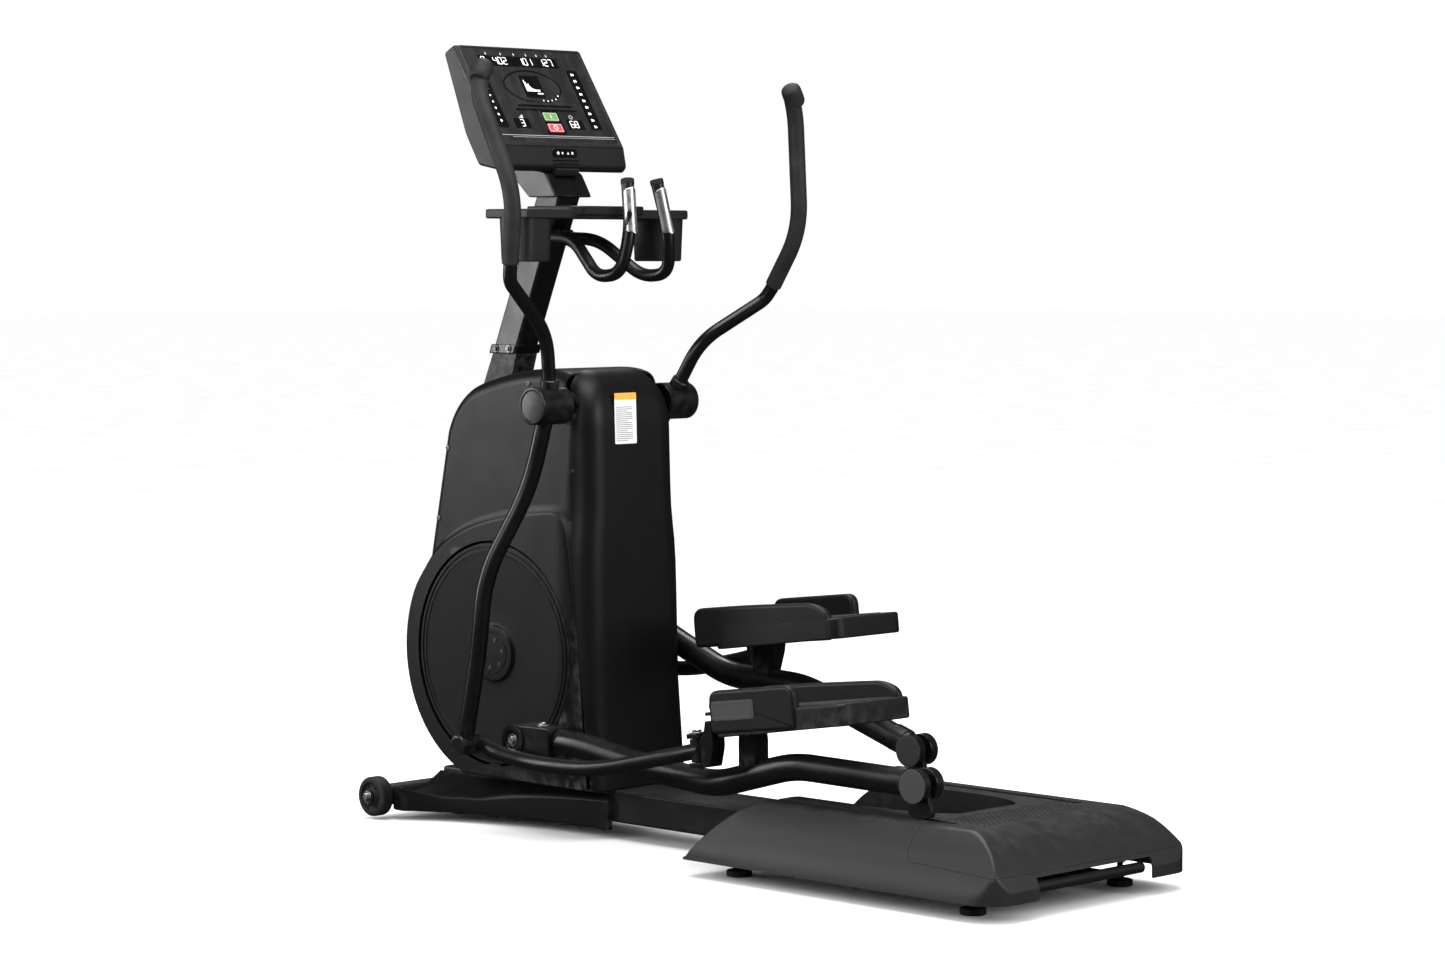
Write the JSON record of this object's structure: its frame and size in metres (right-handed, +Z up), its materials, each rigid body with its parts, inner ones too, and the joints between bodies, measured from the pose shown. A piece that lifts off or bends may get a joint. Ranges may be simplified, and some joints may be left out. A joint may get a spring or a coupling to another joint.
{
  "type": "elliptical trainer",
  "caption": "Front-drive elliptical trainer with swinging arms, pedal rails on roller tracks, a moulded drive housing, a leaning mast and a tilted display console.",
  "frame": {"origin": "middle of the footprint at floor level, under the six levelling feet", "axes": "+X towards the step-on end behind the user, -X towards the console; -Y the user's left; +Z up"},
  "size_m": [2.0583, 0.7664, 1.861],
  "materials": {
    "coat_black": "satin powder coat",
    "shell_black": "satin moulded plastic",
    "cover_grey": "fine-grained moulded plastic",
    "rubber_black": "matte",
    "grip_foam": "matte soft foam",
    "dark_steel": "oiled steel",
    "console_grey": "satin moulded plastic",
    "gloss_black": "gloss overlay film",
    "key_green": "satin",
    "key_red": "satin",
    "plate_grey": "brushed",
    "bright_steel": "zinc plated",
    "print_white": "printed marks",
    "lit_digits": "lit display segments",
    "label_paper": "printed sticker"
  },
  "bodies": {
    "root": {"main_beam": "coat_black", "crossbar_front": "coat_black", "crossbar_rear": "coat_black", "front_stabilizer": "coat_black", "front_cover_left": "shell_black", "front_cover_right": "shell_black", "crank_carrier_and_post": "coat_black", "rear_column": "coat_black", "arm_pivot_shaft": "dark_steel", "drive_belt": "rubber_black", "side_shell_left": "shell_black", "side_shell_right": "shell_black", "rear_shroud": "shell_black", "mast_upper": "coat_black", "console_panel": "gloss_black", "console_housing": "console_grey", "console_tray": "console_grey", "pulse_plate_left": "plate_grey", "pulse_plate_right": "plate_grey", "pulse_handlebar": "coat_black", "base_cover": "cover_grey", "rear_step_cover": "cover_grey", "step_tread": "rubber_black", "lift_handle": "coat_black", "roller_track_left": "dark_steel", "roller_track_right": "dark_steel"},
    "crank_assembly": {"drive_pulley_and_axle": "dark_steel", "crank_disc_left": "shell_black", "crank_disc_right": "shell_black"},
    "flywheel_rotor": {"flywheel": "dark_steel"},
    "carriage_left": {"roller_carriage_left": "coat_black"},
    "roller_left": {"track_roller_left": "rubber_black"},
    "rail_left": {"pedal_rail_left": "coat_black", "crank_bracket_left": "coat_black"},
    "footboard_left": {"pedal_left": "shell_black", "pedal_bracket_left": "coat_black", "connecting_link_left": "coat_black"},
    "arm_left": {"swing_arm_left": "coat_black", "arm_handle_left": "coat_black", "arm_grip_left": "grip_foam"},
    "carriage_right": {"roller_carriage_right": "coat_black"},
    "roller_right": {"track_roller_right": "rubber_black"},
    "rail_right": {"pedal_rail_right": "coat_black", "crank_bracket_right": "coat_black"},
    "footboard_right": {"pedal_right": "shell_black", "pedal_bracket_right": "coat_black", "connecting_link_right": "coat_black"},
    "arm_right": {"swing_arm_right": "coat_black", "arm_handle_right": "coat_black", "arm_grip_right": "grip_foam"},
    "wheel_left": {"transport_wheel_left": "rubber_black"},
    "wheel_right": {"transport_wheel_right": "rubber_black"},
    "levelling_foot_front_left": {"foot_front_left": "rubber_black"},
    "levelling_foot_front_right": {"foot_front_right": "rubber_black"},
    "levelling_foot_middle_left": {"foot_middle_left": "rubber_black"},
    "levelling_foot_middle_right": {"foot_middle_right": "rubber_black"},
    "levelling_foot_rear_left": {"foot_rear_left": "rubber_black"},
    "levelling_foot_rear_right": {"foot_rear_right": "rubber_black"},
    "start_button": {"start_key": "key_green"},
    "stop_button": {"stop_key": "key_red"}
  },
  "joints": [
    {"name": "crank_turn", "type": "hinge", "parent": "root", "child": "crank_assembly", "pos_m": [-0.674, 0, 0.417], "axis": [0, -1, 0], "range_deg": [-25, 25]},
    {"name": "flywheel_spin", "type": "hinge", "parent": "root", "child": "flywheel_rotor", "pos_m": [-0.65, 0, 0.8], "axis": [0, -1, 0], "range_deg": [-165, 165]},
    {"name": "carriage_slide_left", "type": "slide", "parent": "root", "child": "carriage_left", "axis": [1, 0, 0], "range_m": [-0.085, 0.085]},
    {"name": "roller_spin_left", "type": "hinge", "parent": "carriage_left", "child": "roller_left", "pos_m": [0.71864, -0.2225, 0.1242], "axis": [0, 1, 0], "range_deg": [-265, 265]},
    {"name": "rail_pitch_left", "type": "hinge", "parent": "carriage_left", "child": "rail_left", "pos_m": [0.71864, -0.205, 0.247], "axis": [0, -1, 0], "range_deg": [-4, 4]},
    {"name": "pedal_pitch_left", "type": "hinge", "parent": "rail_left", "child": "footboard_left", "pos_m": [0.22559, -0.205, 0.33104], "axis": [0, -1, 0], "range_deg": [-7.5, 7.5]},
    {"name": "arm_swing_left", "type": "hinge", "parent": "root", "child": "arm_left", "pos_m": [-0.438, -0.2, 1.015], "axis": [0, -1, 0], "range_deg": [-7.5, 7.5]},
    {"name": "carriage_slide_right", "type": "slide", "parent": "root", "child": "carriage_right", "axis": [1, 0, 0], "range_m": [-0.065, 0.065]},
    {"name": "roller_spin_right", "type": "hinge", "parent": "carriage_right", "child": "roller_right", "pos_m": [0.34504, 0.2225, 0.1242], "axis": [0, 1, 0], "range_deg": [-195, 195]},
    {"name": "rail_pitch_right", "type": "hinge", "parent": "carriage_right", "child": "rail_right", "pos_m": [0.34504, 0.205, 0.247], "axis": [0, -1, 0], "range_deg": [-4, 4]},
    {"name": "pedal_pitch_right", "type": "hinge", "parent": "rail_right", "child": "footboard_right", "pos_m": [-0.10018, 0.205, 0.47492], "axis": [0, -1, 0], "range_deg": [-10.5, 10.5]},
    {"name": "arm_swing_right", "type": "hinge", "parent": "root", "child": "arm_right", "pos_m": [-0.438, 0.2, 1.015], "axis": [0, -1, 0], "range_deg": [-8.5, 8.5]},
    {"name": "wheel_spin_left", "type": "hinge", "parent": "root", "child": "wheel_left", "pos_m": [-0.981, -0.268, 0.055], "axis": [0, 1, 0], "continuous": true},
    {"name": "wheel_spin_right", "type": "hinge", "parent": "root", "child": "wheel_right", "pos_m": [-0.981, 0.268, 0.055], "axis": [0, 1, 0], "continuous": true},
    {"name": "foot_height_front_left", "type": "slide", "parent": "root", "child": "levelling_foot_front_left", "axis": [0, 0, 1], "range_m": [-0.012, 0]},
    {"name": "foot_height_front_right", "type": "slide", "parent": "root", "child": "levelling_foot_front_right", "axis": [0, 0, 1], "range_m": [-0.012, 0]},
    {"name": "foot_height_middle_left", "type": "slide", "parent": "root", "child": "levelling_foot_middle_left", "axis": [0, 0, 1], "range_m": [-0.012, 0]},
    {"name": "foot_height_middle_right", "type": "slide", "parent": "root", "child": "levelling_foot_middle_right", "axis": [0, 0, 1], "range_m": [-0.012, 0]},
    {"name": "foot_height_rear_left", "type": "slide", "parent": "root", "child": "levelling_foot_rear_left", "axis": [0, 0, 1], "range_m": [-0.012, 0]},
    {"name": "foot_height_rear_right", "type": "slide", "parent": "root", "child": "levelling_foot_rear_right", "axis": [0, 0, 1], "range_m": [-0.012, 0]},
    {"name": "start_press", "type": "slide", "parent": "root", "child": "start_button", "axis": [-0.8369, 0, -0.5474], "range_m": [0, 0.0015], "stiffness_N_per_m": 500, "springref_m": -0.0012},
    {"name": "stop_press", "type": "slide", "parent": "root", "child": "stop_button", "axis": [-0.8369, 0, -0.5474], "range_m": [0, 0.0015], "stiffness_N_per_m": 500, "springref_m": -0.0012}
  ],
  "couplings": [
    {"joint": "flywheel_spin", "follows": "crank_turn", "ratio": 6.3333},
    {"joint": "carriage_slide_left", "follows": "crank_turn", "m_per_rad": 0.18152},
    {"joint": "roller_spin_left", "follows": "crank_turn", "ratio": 10.084},
    {"joint": "rail_pitch_left", "follows": "crank_turn", "ratio": -0.12781},
    {"joint": "pedal_pitch_left", "follows": "crank_turn", "ratio": 0.26193},
    {"joint": "arm_swing_left", "follows": "crank_turn", "ratio": 0.26178},
    {"joint": "carriage_slide_right", "follows": "crank_turn", "m_per_rad": -0.13532},
    {"joint": "roller_spin_right", "follows": "crank_turn", "ratio": -7.5178},
    {"joint": "rail_pitch_right", "follows": "crank_turn", "ratio": 0.1331},
    {"joint": "pedal_pitch_right", "follows": "crank_turn", "ratio": -0.37595},
    {"joint": "arm_swing_right", "follows": "crank_turn", "ratio": -0.29293}
  ]
}
